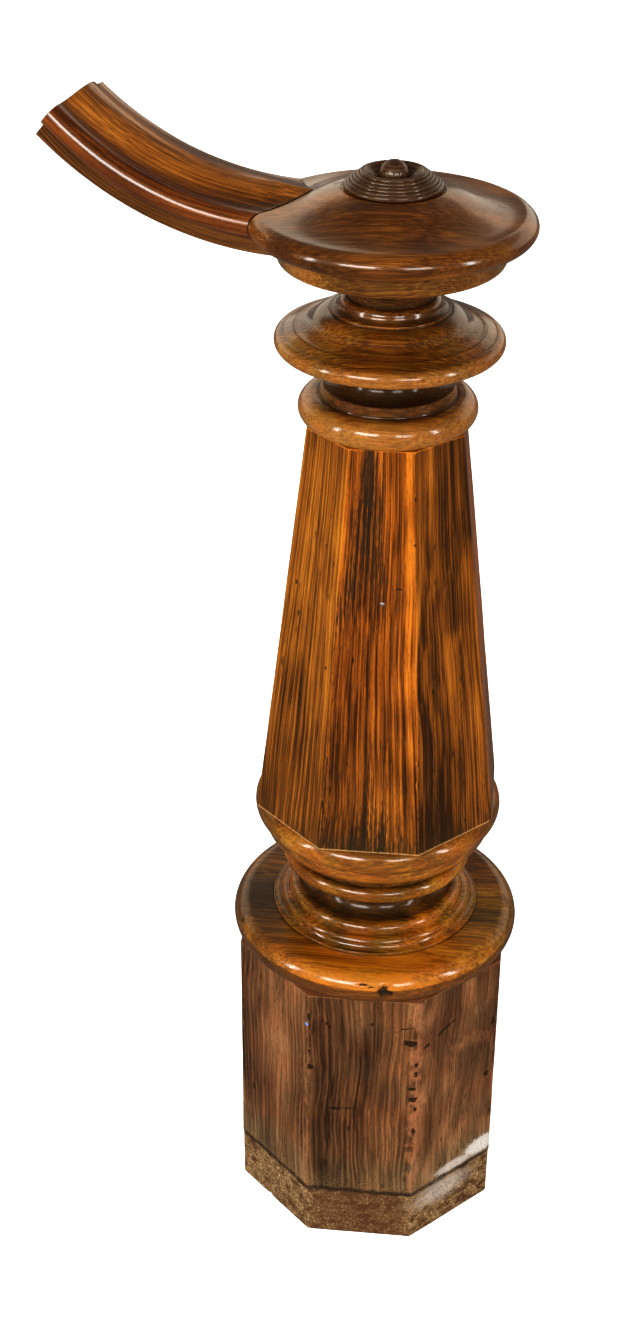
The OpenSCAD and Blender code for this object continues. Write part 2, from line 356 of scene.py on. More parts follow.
# %% [markdown]
# ## Node groups for the wood
# Several finishes share the same effects, so each effect is built once as a group. "Wood grain"
# is a plank: growth rings round a pith that lies to one side, fine fibres, long pores and slow
# clouds of colour. Its coordinates are stretched along z, because grain is long and narrow.

# %% Helpers: shader building
def fill(tree, node, inputs):
    for key, value in inputs.items():
        if isinstance(value, bpy.types.NodeSocket):
            tree.links.new(value, node.inputs[key])
        else:
            node.inputs[key].default_value = value


def add(tree, kind, inputs=None, out=0, **settings):
    node = tree.nodes.new("ShaderNode" + kind)
    for name, value in settings.items():
        setattr(node, name, value)
    fill(tree, node, inputs or {})
    return node.outputs[out]


def chain(tree, operation, values):
    """One sum, product or choice after another, from left to right."""
    total = values[0]
    for value in values[1:]:
        total = add(tree, "Math", {0: total, 1: value}, operation=operation)
    return total


def plus(tree, *values):
    return chain(tree, "ADD", values)


def times(tree, *values):
    return chain(tree, "MULTIPLY", values)


def minus(tree, *values):
    return chain(tree, "SUBTRACT", values)


def largest(tree, *values):
    return chain(tree, "MAXIMUM", values)


def swing(tree, value, share):
    """Noise lies round a half; this makes it a nudge up or down."""
    return times(tree, minus(tree, value, 0.5), share)


def stored(tree, name, out="Fac"):
    return add(tree, "Attribute", out=out, attribute_name=name)


def axis_of(tree, place, n):
    return add(tree, "SeparateXYZ", {0: place}, out=n)


def stretch(tree, place, scale):
    return add(tree, "VectorMath", {0: place, 1: scale}, operation="MULTIPLY")


def cloud(tree, place, scale, detail=2.0, rough=0.5, out=0):
    place = stretch(tree, place, scale)
    return add(tree, "TexNoise", {"Vector": place, "Scale": 1.0, "Detail": detail, "Roughness": rough}, out)


def between(tree, value, low, high, start=0.0, end=1.0):
    keys = {"Value": value, "From Min": low, "From Max": high, "To Min": start, "To Max": end}
    return add(tree, "MapRange", keys, interpolation_type="SMOOTHSTEP")


def blend(tree, share, a, b, kind="MIX"):
    return add(tree, "Mix", {0: share, 6: a, 7: b}, out=2, data_type="RGBA", blend_type=kind)


def new_group(name, given, results):
    tree = bpy.data.node_groups.new(name, "ShaderNodeTree")
    for label, kind, value in given:
        socket = tree.interface.new_socket(label, in_out="INPUT", socket_type="NodeSocket" + kind)
        socket.default_value = value
    for label in results:
        tree.interface.new_socket(label, in_out="OUTPUT", socket_type="NodeSocketFloat")
    return tree, tree.nodes.new("NodeGroupInput").outputs, tree.nodes.new("NodeGroupOutput").inputs


# %% Node group: wood grain
grain, given, result = new_group(
    "Wood grain",
    [("Place", "Vector", (0, 0, 0)), ("Pith Side", "Float", 0.05), ("Pith Depth", "Float", 0.2),
     ("Ring Width", "Float", 0.004), ("Wander", "Float", 0.02)],
    ["Rings", "Fibre", "Pores", "Clouds"],
)
sway = cloud(grain, given["Place"], (8, 8, 5), out=1)
sway = add(grain, "VectorMath", {0: sway, 1: (0.5, 0.5, 0.5)}, operation="SUBTRACT")
sway = add(grain, "VectorMath", {0: sway, 3: given["Wander"]}, operation="SCALE")
swayed = add(grain, "VectorMath", {0: given["Place"], 1: sway}, operation="ADD")
side = minus(grain, axis_of(grain, swayed, 0), given["Pith Side"])
deep = plus(grain, axis_of(grain, swayed, 1), given["Pith Depth"])
flat = add(grain, "CombineXYZ", {0: side, 1: deep})
away = add(grain, "VectorMath", {0: flat}, out=1, operation="LENGTH")
turns = chain(grain, "DIVIDE", [away, given["Ring Width"]])
drift = cloud(grain, add(grain, "CombineXYZ", {0: turns}), (0.45, 1, 1), 1.0)
turns = plus(grain, turns, times(grain, drift, 2.2))
wave = add(grain, "Math", {0: times(grain, turns, math.tau)}, operation="SINE")
grain.links.new(between(grain, wave, -0.4, 1.0), result["Rings"])
for label, scale, detail, rough, low, high in [
    ("Fibre", (520, 520, 4), 3.0, 0.65, 0.34, 0.66),
    ("Pores", (1700, 1700, 130), 1.0, 0.5, 0.60, 0.70),
    ("Clouds", (17, 17, 3.4), 3.0, 0.55, 0.3, 0.7),
]:
    grain.links.new(between(grain, cloud(grain, swayed, scale, detail, rough), low, high), result[label])
print("wood grain has", len(grain.nodes), "nodes")


# %% [markdown]
# The old dirt and shade group reads the crevice, rubbed and bruise attributes and breaks their
# soft edges with noise, so that dirt looks wiped rather than airbrushed. Its crevice output is
# partly dirt and partly painted shade in hollows. "Streaks and specks" adds the black streaks that
# run with the grain and the small knocks that have filled with wax and dust. The attribute sooty
# says where the streaks crowd together.

# %% Node group: old dirt and painted shade
dirt_and_shade, given, result = new_group(
    "Old dirt", [("Amount", "Float", 1.0), ("Rub", "Float", 1.0)], ["Dirt and shade", "Rubbed", "Bruise"]
)
ragged = cloud(dirt_and_shade, add(dirt_and_shade, "TexCoord", out="Object"), (260, 260, 260), 3.0, 0.65)
for label, source, share, low, high, amount in [
    ("Dirt and shade", "crevice", 0.7, 0.35, 1.15, given["Amount"]),
    ("Rubbed", "rubbed", 0.9, 0.3, 0.9, given["Rub"]),
    ("Bruise", "bruise", 0.8, 0.35, 0.75, 1.0),
]:
    broken = plus(dirt_and_shade, stored(dirt_and_shade, source), swing(dirt_and_shade, ragged, share))
    dirt_and_shade.links.new(times(dirt_and_shade, between(dirt_and_shade, broken, low, high), amount), result[label])
print("old dirt has", len(dirt_and_shade.nodes), "nodes")

# %% Node group: streaks and specks
streaks, given, result = new_group(
    "Streaks and specks",
    [("Place", "Vector", (0, 0, 0)), ("Streak", "Float", 0.5), ("Speck", "Float", 0.5)],
    ["Streaks", "Specks"],
)
broad = cloud(streaks, given["Place"], (34, 34, 4.5))
thin = cloud(streaks, given["Place"], (520, 520, 9), 2.5, 0.6)
broken = cloud(streaks, given["Place"], (900, 900, 110), 2.0, 0.6)
mixed = plus(streaks, times(streaks, broad, 1.1), times(streaks, thin, 0.8),
             times(streaks, broken, 0.55), times(streaks, stored(streaks, "sooty"), 0.45))
streaks.links.new(times(streaks, between(streaks, mixed, 1.28, 1.52), given["Streak"]), result["Streaks"])
cell = {"Vector": stretch(streaks, given["Place"], (85, 85, 42)), "Scale": 1.0, "Randomness": 1.0}
centre_gap = add(streaks, "TexVoronoi", cell)
pick = add(streaks, "SeparateColor", {0: add(streaks, "TexVoronoi", cell, out=1)})
speck_size = plus(streaks, between(streaks, pick, 0.74, 1.0, -0.04, 0.24), swing(streaks, broken, 0.5))
hit = between(streaks, minus(streaks, speck_size, centre_gap), -0.02, 0.06)
streaks.links.new(times(streaks, hit, given["Speck"]), result["Specks"])
print("shared effects:", [g.name for g in bpy.data.node_groups])


# %% [markdown]
# ## Polished mahogany
# French polish is clear shellac over stained wood, so the shader is a coloured wood surface with
# a thin clear coat. Each finish passes its own tones and strengths to the same shared groups. The
# tones run from the darkest fibre to the palest. The attribute fading_and_painted_light moves a
# place along them: it holds uneven fading, and on some pieces painted light and painted shade.
# The attribute olive greens the tone, as old shellac does. Where a piece has its own history, the
# cells further down change the parts that this helper gives back.

# %% Helper: polished wood
# The colour of grime, also used to paint shade into hollows.
GRIME_AND_SHADE = (0.013, 0.0075, 0.0035, 1)


def tone_ramp(tree, value, tones):
    node = tree.nodes.new("ShaderNodeValToRGB")
    tree.links.new(value, node.inputs[0])
    while len(node.color_ramp.elements) < len(tones):
        node.color_ramp.elements.new(0.5)
    for stop, (at, colour) in zip(node.color_ramp.elements, tones):
        stop.position, stop.color = at, (*colour, 1)
    return node.outputs[0]


def use_group(tree, group, values):
    node = tree.nodes.new("ShaderNodeGroup")
    node.node_tree = group
    fill(tree, node, values)
    return node.outputs


def new_material(name):
    material = bpy.data.materials.new(name)
    material.use_nodes = True
    return material, material.node_tree, material.node_tree.nodes["Principled BSDF"]


def wood(name, tones, rub_tone, mix=(0.4, 0.35, 0.25), pith=(0.05, 0.2), ring=0.004, wander=0.02,
         dirt_and_shade_amount=0.9, rub=0.5, streak=0.3, speck=0.5, pores=0.45, gloss=0.32, coat=0.75,
         coat_rough=0.15):
    """Mix is the share of slow clouds, fibres and rings in the tone; pith is where the tree's heart was."""
    material, tree, shader = new_material(name)
    place = stored(tree, "grain_at", "Vector")
    plank = use_group(tree, grain, {"Place": place, "Pith Side": pith[0], "Pith Depth": pith[1],
                                    "Ring Width": ring, "Wander": wander})
    marks = use_group(tree, streaks, {"Place": place, "Streak": streak, "Speck": speck})
    age_and_shade = use_group(tree, dirt_and_shade, {"Amount": dirt_and_shade_amount, "Rub": rub})
    tone = plus(tree, times(tree, plank["Clouds"], mix[0]), times(tree, plank["Fibre"], mix[1]),
                times(tree, plank["Rings"], mix[2]), times(tree, age_and_shade["Rubbed"], 0.22), stored(tree, "fading_and_painted_light"))
    colour = tone_ramp(tree, tone, tones)
    colour = blend(tree, stored(tree, "olive"), colour, (0.85, 1.3, 1.7, 1), "MULTIPLY")
    colour = blend(tree, times(tree, age_and_shade["Rubbed"], 0.55), colour, (*rub_tone, 1))
    colour = blend(tree, times(tree, plank["Pores"], pores), colour, GRIME_AND_SHADE)
    # Dark marks: streaks, specks, knocks, and crevices darkened as dirt and as painted shade.
    dark = largest(tree, marks["Streaks"], marks["Specks"], age_and_shade["Dirt and shade"], times(tree, age_and_shade["Bruise"], 0.93))
    colour = blend(tree, dark, colour, GRIME_AND_SHADE)
    rough = plus(tree, times(tree, dark, 0.3), gloss, times(tree, plank["Clouds"], 0.1))
    sheen = times(tree, minus(tree, 1.0, times(tree, dark, 0.7)), coat)
    low = plus(tree, times(tree, plank["Pores"], 0.5), marks["Specks"], times(tree, age_and_shade["Bruise"], 0.6))
    high = minus(tree, times(tree, plank["Fibre"], 0.22), low)
    bump = tree.nodes.new("ShaderNodeBump")
    fill(tree, bump, {"Strength": 0.5, "Distance": 0.0005, "Height": high})
    fill(tree, shader, {
        "Base Color": colour, "Roughness": rough, "Coat Weight": sheen, "Coat Roughness": coat_rough,
        "Specular IOR Level": 0.3, "Specular Tint": (1.0, 0.72, 0.45, 1), "Normal": bump.outputs[0],
    })
    return material, {"tree": tree, "shader": shader, "place": place, "fibre": plank["Fibre"],
                      "colour": colour, "rough": rough, "sheen": sheen, "high": high, "bump": bump}


# %% Finishes for the turned pieces
RING_TONES = [(0.08, (0.035, 0.011, 0.002)), (0.38, (0.12, 0.036, 0.003)),
              (0.62, (0.24, 0.068, 0.004)), (0.92, (0.40, 0.135, 0.010))]
BROWN_TONES = [(0.08, (0.020, 0.007, 0.002)), (0.40, (0.066, 0.021, 0.003)),
               (0.66, (0.15, 0.050, 0.006)), (0.92, (0.29, 0.110, 0.016))]
ring_finish, _ = wood("amber polished mahogany", RING_TONES, (0.38, 0.15, 0.028), mix=(0.5, 0.38, 0.12),
                      pith=(0.03, -0.1), ring=0.010, wander=0.03, streak=0.55, dirt_and_shade_amount=0.7, rub=0.3)
neck_finish, _ = wood("brown polished mahogany", BROWN_TONES, (0.34, 0.145, 0.035), mix=(0.40, 0.38, 0.14),
                      pith=(-0.2, -0.6), ring=0.0016, wander=0.016, streak=0.25, speck=0.3, dirt_and_shade_amount=0.7)
cap_finish, _ = wood("cap mahogany", BROWN_TONES, (0.24, 0.11, 0.04), mix=(0.36, 0.30, 0.16),
                     pith=(-0.2, -0.75), ring=0.0012, wander=0.03, streak=0.18, dirt_and_shade_amount=0.6, rub=0.3)
print("turned finishes:", [f.name for f in (ring_finish, neck_finish, cap_finish)])


# %% [markdown]
# ## The base ring
# A thick round moulding caps the block and hides its eight corners. It is one half-round with a
# flat top. A chip is missing from its front, which is kept, because a repair would be a lie. Its
# flat top is painted lighter at the front, where the light falls on it, and painted darker at its
# left and right sides, as shade. Its rounded edge is darker.

# %% Base ring
ring_low, ring_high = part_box("base_ring")
RING_R, RING_Z, RING_T = ring_high.x / MM, ring_low.z / MM, (ring_high.z - ring_low.z) / MM
RING_MID, TOP_FROM = RING_R - RING_T / 2, RING_Z + RING_T * 0.62
base_ring = turned(
    "base_ring_turned",
    line((0, 0), (RING_MID, 0), 8) + half_round(RING_R, 0, RING_T, 40)
    + line((RING_MID, RING_T), (90, RING_T), 1.5) + line((90, RING_T), (0, RING_T), 12),
    RING_Z, 360,
)


def on_ring(degrees, lift):
    """A point on the half-round, lift degrees above its widest line."""
    rise = math.radians(lift)
    return spot_at(degrees, RING_MID + RING_T / 2 * math.cos(rise),
                   RING_Z + RING_T / 2 + RING_T / 2 * math.sin(rise))


knock(base_ring, [
    (on_ring(-82, 18), 6.5, 2.6, (1, 0.1, 0.9), 7.5),
    (on_ring(-79.5, 6), 3.0, 1.2, (1, 0, 0.2), 4),
    (on_ring(-90, 38), 1.4, 0.3, (1, 0, 0), 9),
    (on_ring(-87, 30), 1.2, 0.3, (1, 0, 0.1), 7),
    (on_ring(-158, 40), 2.2, 0.5, (0.3, 1, 0), 7),
    (on_ring(-40, 20), 1.6, 0.4, (1, 0.2, 0), 4),
])
wobble(base_ring, 0.15, 45)
settle_age(base_ring, [(102.7, 347), (RING_MID, RING_Z)])


# Painted light and shade: the front of the flat top is lighter where the light falls, and the left and right
# sides are darker.
def ring_fading_and_light(at):
    on_top = at[:, 2] > TOP_FROM
    return (0.42 * facing(at, -92, 42) * on_top - 0.20 * facing(at, 190, 40) - 0.12 * facing(at, -5, 30)
            - np.where(on_top, 0.04, 0.36) + 0.05 * mottle(at, 30))


def ring_olive(at):
    return np.clip(facing(at, 190, 40) + facing(at, -10, 35) + 0.3 * mottle(at, 20), 0, 1)


uneven(base_ring, ring_fading_and_light, ring_olive)
lay_level_grain(base_ring)
hand_over(base_ring, "base_ring", ring_finish)


# %% [markdown]
# ## The lower neck
# Between the block and the shaft the turner cut a flared foot, a step, a deep hollow, a round
# bead, a cove, an ovolo with a sharp lower edge, and the thick disk that the shaft stands on.

# %% Lower neck
Z0 = RING_Z + RING_T
lower_neck = turned(
    "lower_neck_turned",
    line((0, 0), (102.2, 0), 10) + line((102.7, 0.4), (102.7, 2.4), 0.6)
    + arc(101.9, 2.3, 0.8, 0, 90, 4) + ogee(101.4, 88.6, 3, 13)
    + arc(87.6, 13.1, 0.5, 90, 180, 3) + line((87.2, 13.6), (86.6, 15.6), 0.7)
    + arc(79.0, 15.8, 7.8, 0, 90, 14) + line((78.5, 23.8), (76.8, 23.8), 0.6)
    + hollow(61.8, 23.8, 53.8) + line((77.4, 53.8), (85.3, 53.8), 1.2)
    + half_round(93.5, 53.8, 16.4) + line((85.3, 70.2), (86.0, 70.2), 0.5)
    + line((86.0, 70.7), (86.0, 73.7), 0.8) + arc(99, 73.7, 13, 180, 90, 14)
    + line((99.2, 86.7), (100.5, 86.7), 0.5) + arc(95.7, 101.96, 16, -72.5, -2, 16)
    + line((111.7, 103), (111.9, 106.3), 1) + half_round(120.4, 106.3, 25, 34)
    + line((107.9, 131.3), (80, 131.3), 2) + line((80, 131.3), (0, 131.3), 12),
    Z0,
)
wobble(lower_neck, 0.08, 35)
knock(lower_neck, [
    ((35, -113, 470), 1.6, 0.4, (1, 0.2, 0), 5),
    ((-50, -109, 462), 1.2, 0.3, (1, -0.3, 0), 4),
])
settle_age(lower_neck, [(102.7, Z0), (93, Z0 + 53.8), (86, Z0 + 70.2), (112, Z0 + 106)], reach=26, full=0.45)


# Painted shade: the deep hollow is darker. The disk at the top is darker too.
def lower_neck_fading_and_shade(at):
    up = at[:, 2] - Z0
    return 0.12 * mottle(at, 25) - 0.12 * ((up > 23) & (up < 53)) - 0.14 * (up > 100)


uneven(lower_neck, lower_neck_fading_and_shade, lambda at: np.clip(0.4 + mottle(at, 22, 3), 0, 1))
lay_level_grain(lower_neck)
hand_over(lower_neck, "lower_neck", ring_finish)


# %% [markdown]
# ## The upper neck
# The same members, lighter: a collar over the shaft, a sloping band, a deep waist, a wide saucer
# and a dome whose two ogees lead up to the plain neck under the cap.

# %% Upper neck
Z1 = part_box("upper_neck")[0].z / MM
upper_neck = turned(
    "upper_neck_turned",
    line((0, 0), (67.3, 0), 6) + half_round(80.3, 0, 26, 34) + line((67, 26), (61.4, 26), 1.2)
    + line((61.2, 26.2), (59.6, 34.3), 1) + arc(58.9, 34.3, 0.6, 10, 90, 4)
    + line((58.6, 35), (57.5, 35), 0.5) + hollow(44, 35, 65)
    + line((59.2, 65.4), (59.2, 67.9), 0.8) + line((60, 68), (93.4, 68), 1.6)
    + half_round(101.5, 68, 16, 30) + line((93.2, 84), (84.4, 87.8), 1.3)
    + ogee(83.3, 52.9, 88.3, 103.5, 16) + line((52.6, 103.6), (52.5, 105.6), 0.7)
    + arc(52.0, 105.6, 0.5, 0, 90, 3) + ogee(51.6, 38.4, 106, 117, 12)
    + line((38.4, 117.4), (38.4, 148), 1.6) + line((38.4, 148), (0, 148), 8),
    Z1,
)
wobble(upper_neck, 0.07, 30)
neck_joints = [(67, 0), (62, 26), (59, 66), (84.3, 88), (53, 103.5), (38.4, 148)]
settle_age(upper_neck, [(radius, Z1 + up) for radius, up in neck_joints], reach=26, full=0.45)


# Painted shade: the waist hollow under the saucer is darker. The collar and the saucer are lighter.
def upper_neck_fading_and_shade(at):
    up = at[:, 2] - Z1
    return (0.07 + 0.17 * (up < 26) + 0.12 * ((up > 66) & (up < 90)) + 0.10 * mottle(at, 25)
            - 0.15 * ((up > 34) & (up < 66)))


uneven(upper_neck, upper_neck_fading_and_shade, lambda at: np.clip(0.15 + 0.8 * mottle(at, 22, 5), 0, 1))
lay_level_grain(upper_neck)
hand_over(upper_neck, "upper_neck", neck_finish)


# %% [markdown]
# ## Eight-sided pieces
# The block and the shaft share one outline: eight flats joined by small rounded arrises. The
# rounding is not the same all the way up, since some lengths of each arris took more knocks. A
# row of points is made for every couple of millimetres of height, so dents have mesh to push.

# %% Helpers: eight-sided rows
FRONT, LEFT, RIGHT = -90, -135, -45
UP, SIDE = (0, 0, 1), (1, 0, 0)


def eight_sided(width, arris, height, across=36):
    """One row: arris is a rounding radius for each of the eight corners, corner 0 at 22.5 degrees."""
    points = []
    for corner in range(8):
        middle = math.radians(22.5 + 45 * corner)
        reach = (width / 2 - arris[corner]) / math.cos(math.radians(22.5))
        centre = (reach * math.cos(middle), reach * math.sin(middle))
        round_off = [
            (centre[0] + arris[corner] * math.cos(middle + math.radians(t)),
             centre[1] + arris[corner] * math.sin(middle + math.radians(t)))
            for t in (-22.5, -11, 0, 11, 22.5)
        ]
        if points:
            points += steps_to(points[-1], round_off[0], across)[1:-1]
        points += round_off
    points += steps_to(points[-1], points[0], across)[1:-1]
    return [(x, y, height) for x, y in points]


def end_caps(rows):
    around, last = len(rows[0]), (len(rows) - 1) * len(rows[0])
    return [tuple(range(around - 1, -1, -1)), tuple(last + n for n in range(around))]


def on_face(degrees, slide, height, width):
    """A point on the flat that faces that way, slide mm past its middle, anticlockwise from above."""
    turn = math.radians(degrees)
    reach = width / 2
    return [reach * math.cos(turn) - slide * math.sin(turn),
            reach * math.sin(turn) + slide * math.cos(turn), height]


print("one row has", len(eight_sided(100, [2] * 8, 0)), "points")

# %% Helpers: where a point lies on the flats
def face_of(at):
    """Which way each point's flat faces, in degrees."""
    return (np.round(np.degrees(np.arctan2(at[:, 1], at[:, 0])) / 45) * 45 + 180) % 360 - 180


def slide_of(at, degrees):
    turn = math.radians(degrees)
    return at[:, 1] * math.cos(turn) - at[:, 0] * math.sin(turn)


def hump(value, middle, spread):
    return np.exp(-(((value - middle) / spread) ** 2))


def beside(at, corner, low, high, soft=1.5):
    """1 for points from low to high mm past a long corner, counted anticlockwise from above."""
    turn = math.radians(corner)
    past = slide_of(at, corner)
    inside = 1 / (1 + np.exp((low - past) / soft)) / (1 + np.exp((past - high) / soft))
    return inside * (at[:, 0] * math.cos(turn) + at[:, 1] * math.sin(turn) > 0)


print("a point at 50 degrees lies on the flat at", face_of(np.array([spot_at(50, 9, 0)]))[0])

# %% [markdown]
# ## The base block
# Shoes, brooms and buckets hit the block most, along its two front arrises above all. Each knock
# has its own place and size, because a random scatter would not look like use. The lowest part
# stands back a little, where the polish and its dirt stop.

# %% Base block
block_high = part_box("base_block")[1]
BLOCK_W, BLOCK_H = 2 * block_high.x / MM, block_high.z / MM
BAND_TOP = 61
rows = []
for z in np.concatenate([[0], np.linspace(0.8, BLOCK_H, 150)]):
    arris = [2.2 + 1.6 * noise.noise(Vector((corner * 5.1, z / 22, 0))) for corner in range(8)]
    step_in = 0.7 if z < BAND_TOP else 0
    bottom = 1.4 * max(0, 1 - z / 2.5)
    rows.append(eight_sided(BLOCK_W - 2 * (step_in + bottom), arris, z))
base_block = skin("base_block_worn", rows, caps=end_caps(rows))
wobble(base_block, 0.35, 45)
print("block:", len(rows), "rows of", len(rows[0]), "points")

# %% Knocks on the block
WIDER, LONGER = 1.4, 1.15
block_knocks = [
    (FRONT, 47, 263, 4.2, 1.5, SIDE, 8),
    (FRONT, 42, 282, 0.9, 0.4, (1, 0, 0.25), 9),
    (FRONT, 54, 236, 2.6, 1.1, UP, 4),
    (FRONT, 54, 224, 2.4, 1.0, UP, 5),
    (FRONT, 50, 205, 2.4, 0.9, SIDE, 5),
    (FRONT, 52, 191, 3.4, 1.4, SIDE, 7),
    (FRONT, 55, 178, 2.2, 0.8, UP, 4),
    (FRONT, 53, 148, 2.4, 0.8, UP, 6),
    (FRONT, -52, 224, 3.6, 1.0, SIDE, 5),
    (FRONT, -53, 244, 2.0, 0.7, UP, 4),
    (FRONT, -54, 288, 2.2, 0.8, UP, 5),
    (FRONT, -27, 172, 1.7, 0.8, SIDE, 8),
    (FRONT, -14, 173, 1.1, 0.4, SIDE, 9),
    (FRONT, 9, 284, 1.8, 0.6, UP, 3),
    (FRONT, -35, 281, 1.3, 0.5, (0.6, 0, -0.8), 8),
    (FRONT, 44, 57, 4.6, 0.9, SIDE, 8),
    (FRONT, -38, 27, 3.6, 0.8, SIDE, 5),
    (FRONT, 33, 4, 1.8, 1.6, UP, 5),
    (FRONT, 49, 6, 1.8, 1.6, UP, 6),
    (RIGHT, -41, 254, 2.4, 1.0, (0.7, 0.7, 0.5), 5),
    (RIGHT, -18, 264, 1.5, 0.9, (0.68, 0.68, 0.42), 17),
    (RIGHT, 44, 172, 3.2, 1.0, UP, 5),
    (RIGHT, 49, 240, 2.2, 0.8, UP, 6),
    (LEFT, 49, 8, 1.4, 1.4, UP, 8),
    (LEFT, -10, 2, 3.0, 1.5, (0.7, 0.7, 0), 6),
    (90, 20, 200, 2.6, 0.8, UP, 8),
    (135, -25, 140, 2.2, 0.7, SIDE, 6),
    (180, 30, 90, 3.0, 0.9, UP, 5),
]
knock(base_block, [
    (on_face(face, slide, height, BLOCK_W), WIDER * size, depth, way, LONGER * run)
    for face, slide, height, size, depth, way, run in block_knocks
])
print(len(block_knocks), "knocks on the block")

# %% Wear, fading and painted light on the block
settle_age(base_block, [(128, BLOCK_H)], reach=16, full=0.55)
block_at = points_of(base_block) / MM
patchy = mottle(block_at, 9) + 0.5 * mottle(block_at, 4)
worn = np.zeros(len(block_at))
for corner, low, high, much in [(-67.5, -7, 6, 0.8), (-112.5, -5, 1.5, 0.7), (-22.5, -4, 4, 0.4),
                                (-157.5, -4, 4, 0.4), (112.5, -5, 5, 0.4), (67.5, -5, 5, 0.4)]:
    worn = np.maximum(worn, beside(block_at, corner, low, high, 2.5) * (much + 0.9 * patchy))
store(base_block, "rubbed", np.clip(worn, 0, 1) * (block_at[:, 2] > BAND_TOP))
print(round(100 * (worn > 0.5).mean(), 1), "% of the block's points are well rubbed")


# Painted light and shade: the left flat is lighter towards the front, where a highlight lies, and the right
# flat is darker away from the front. The front flat is darker round its middle.
def block_fading_and_light(at):
    face, up = face_of(at), at[:, 2]
    return ((face == LEFT) * (0.02 + 0.16 * slide_of(at, LEFT) / 54)
            + (face == RIGHT) * (0.02 - 0.14 * slide_of(at, RIGHT) / 54)
            - (face == FRONT) * (0.04 + 0.10 * hump(up, 240, 70) * hump(slide_of(at, FRONT), 0, 40))
            + (face != FRONT) * 0.10 * hump(up, 95, 22) + 0.16 * mottle(at * [1, 1, 0.4], 22))


uneven(
    base_block, block_fading_and_light,
    lambda at: np.clip(0.15 + 0.6 * hump(at[:, 2], 80, 30) + 0.4 * mottle(at, 30, 2), 0, 1),
    lambda at: 0.3 * mottle(at * [1, 1, 0.3], 25, 9) - 0.1,
)
lay_grain(base_block, points_of(base_block))


# %% [markdown]
# ## The block's finish
# The block is redder and duller than the turnings. Its lowest part was hidden behind a skirting
# board and never polished, so it is rough tan wood with a dark line above it, and plaster and
# old paint cling to one side. These are masks by height and place, broken up with noise.

# %% Helper: a broken patch
def patch(tree, place, at, squeeze, size, ragged, share=0.5):
    """A mask that is 1 near a point, flatter the larger squeeze is, and breaks up at its edge."""
    gap = add(tree, "VectorMath", {0: place, 1: Vector(at) * MM}, operation="SUBTRACT")
    gap = stretch(tree, gap, (1, 1, squeeze))
    gap = add(tree, "VectorMath", {0: gap}, out=1, operation="LENGTH")
    gap = plus(tree, chain(tree, "DIVIDE", [gap, size * MM]), swing(tree, ragged, share * 2))
    return between(tree, gap, 0.75, 1.0, 1.0, 0.0)


# %% Block material: the bare band
BLOCK_TONES = [(0.08, (0.026, 0.010, 0.004)), (0.38, (0.085, 0.033, 0.011)),
               (0.65, (0.155, 0.062, 0.021)), (0.92, (0.27, 0.108, 0.038))]
block_finish, p = wood("worn block mahogany", BLOCK_TONES, (0.27, 0.105, 0.048), mix=(0.48, 0.34, 0.18),
                       pith=(0.35, 0.3), ring=0.006, wander=0.035, dirt_and_shade_amount=1.0, rub=0.9, streak=0.7,
                       speck=0.6, pores=0.6, gloss=0.42, coat=0.3, coat_rough=0.28)
tree = p["tree"]
coarse = cloud(tree, p["place"], (70, 70, 90), 5.0, 0.7)
fine = cloud(tree, p["place"], (420, 420, 500), 4.0, 0.7)
edge = plus(tree, axis_of(tree, p["place"], 2), swing(tree, coarse, 0.008))


def by_height(low, high, start=0.0, end=1.0):
    """A mask that changes between two heights, in mm above the top of the bare band."""
    return between(tree, edge, (BAND_TOP + low) * MM, (BAND_TOP + high) * MM, start, end)


band = by_height(-1.2, 1.2, 1.0, 0.0)
black_line = times(tree, by_height(-6, -1), by_height(1, 5, 1.0, 0.0))
black_line = times(tree, black_line, between(tree, fine, 0.35, 0.6, 0.3, 1.0))
bare = tone_ramp(tree, fine, [(0.28, (0.035, 0.019, 0.008)), (0.44, (0.12, 0.068, 0.028)),
                              (0.58, (0.24, 0.150, 0.070)), (0.72, (0.52, 0.39, 0.22))])
bare = blend(tree, between(tree, coarse, 0.46, 0.60, 0.0, 0.85), bare, (0.060, 0.024, 0.011, 1))
darker = times(tree, patch(tree, p["place"], on_face(FRONT, 0, 30, BLOCK_W), 0.8, 54, coarse), 0.6)
bare = blend(tree, darker, bare, (0.075, 0.028, 0.012, 1))
bare = blend(tree, between(tree, fine, 0.62, 0.70, 0.0, 0.6), bare, (0.50, 0.37, 0.20, 1))
dust_and_sheen = times(tree, by_height(34, 0), between(tree, fine, 0.45, 0.62, 0.0, 0.55))
colour = blend(tree, dust_and_sheen, p["colour"], (0.23, 0.14, 0.06, 1))
colour = blend(tree, band, colour, bare)
colour = blend(tree, black_line, colour, (0.013, 0.010, 0.007, 1))
print("the bare band is", BAND_TOP, "mm high")

# %% Block material: plaster and paint
splashes = []
for slide, height, squeeze, size, share, most in [
    (42, 76, 2.2, 27, 1.1, 0.85), (4, 70, 4.2, 30, 1.3, 0.6), (-12, 44, 2.6, 40, 1.9, 0.4)
]:
    splash = patch(tree, p["place"], on_face(RIGHT, slide, height, BLOCK_W), squeeze, size, fine, share)
    splashes.append(times(tree, splash, most))
plaster = largest(tree, *splashes)
plaster = times(tree, plaster, minus(tree, 1.0, times(tree, black_line, 0.85)))
plaster_tone = tone_ramp(tree, fine, [(0.25, (0.25, 0.20, 0.15)), (0.7, (0.64, 0.62, 0.60))])
colour = blend(tree, plaster, colour, plaster_tone)
blue = patch(tree, p["place"], on_face(LEFT, 52, 278, BLOCK_W), 1, 2.6, fine, 0.4)
colour = blend(tree, blue, colour, (0.10, 0.22, 0.42, 1))
unpolished = largest(tree, band, plaster)
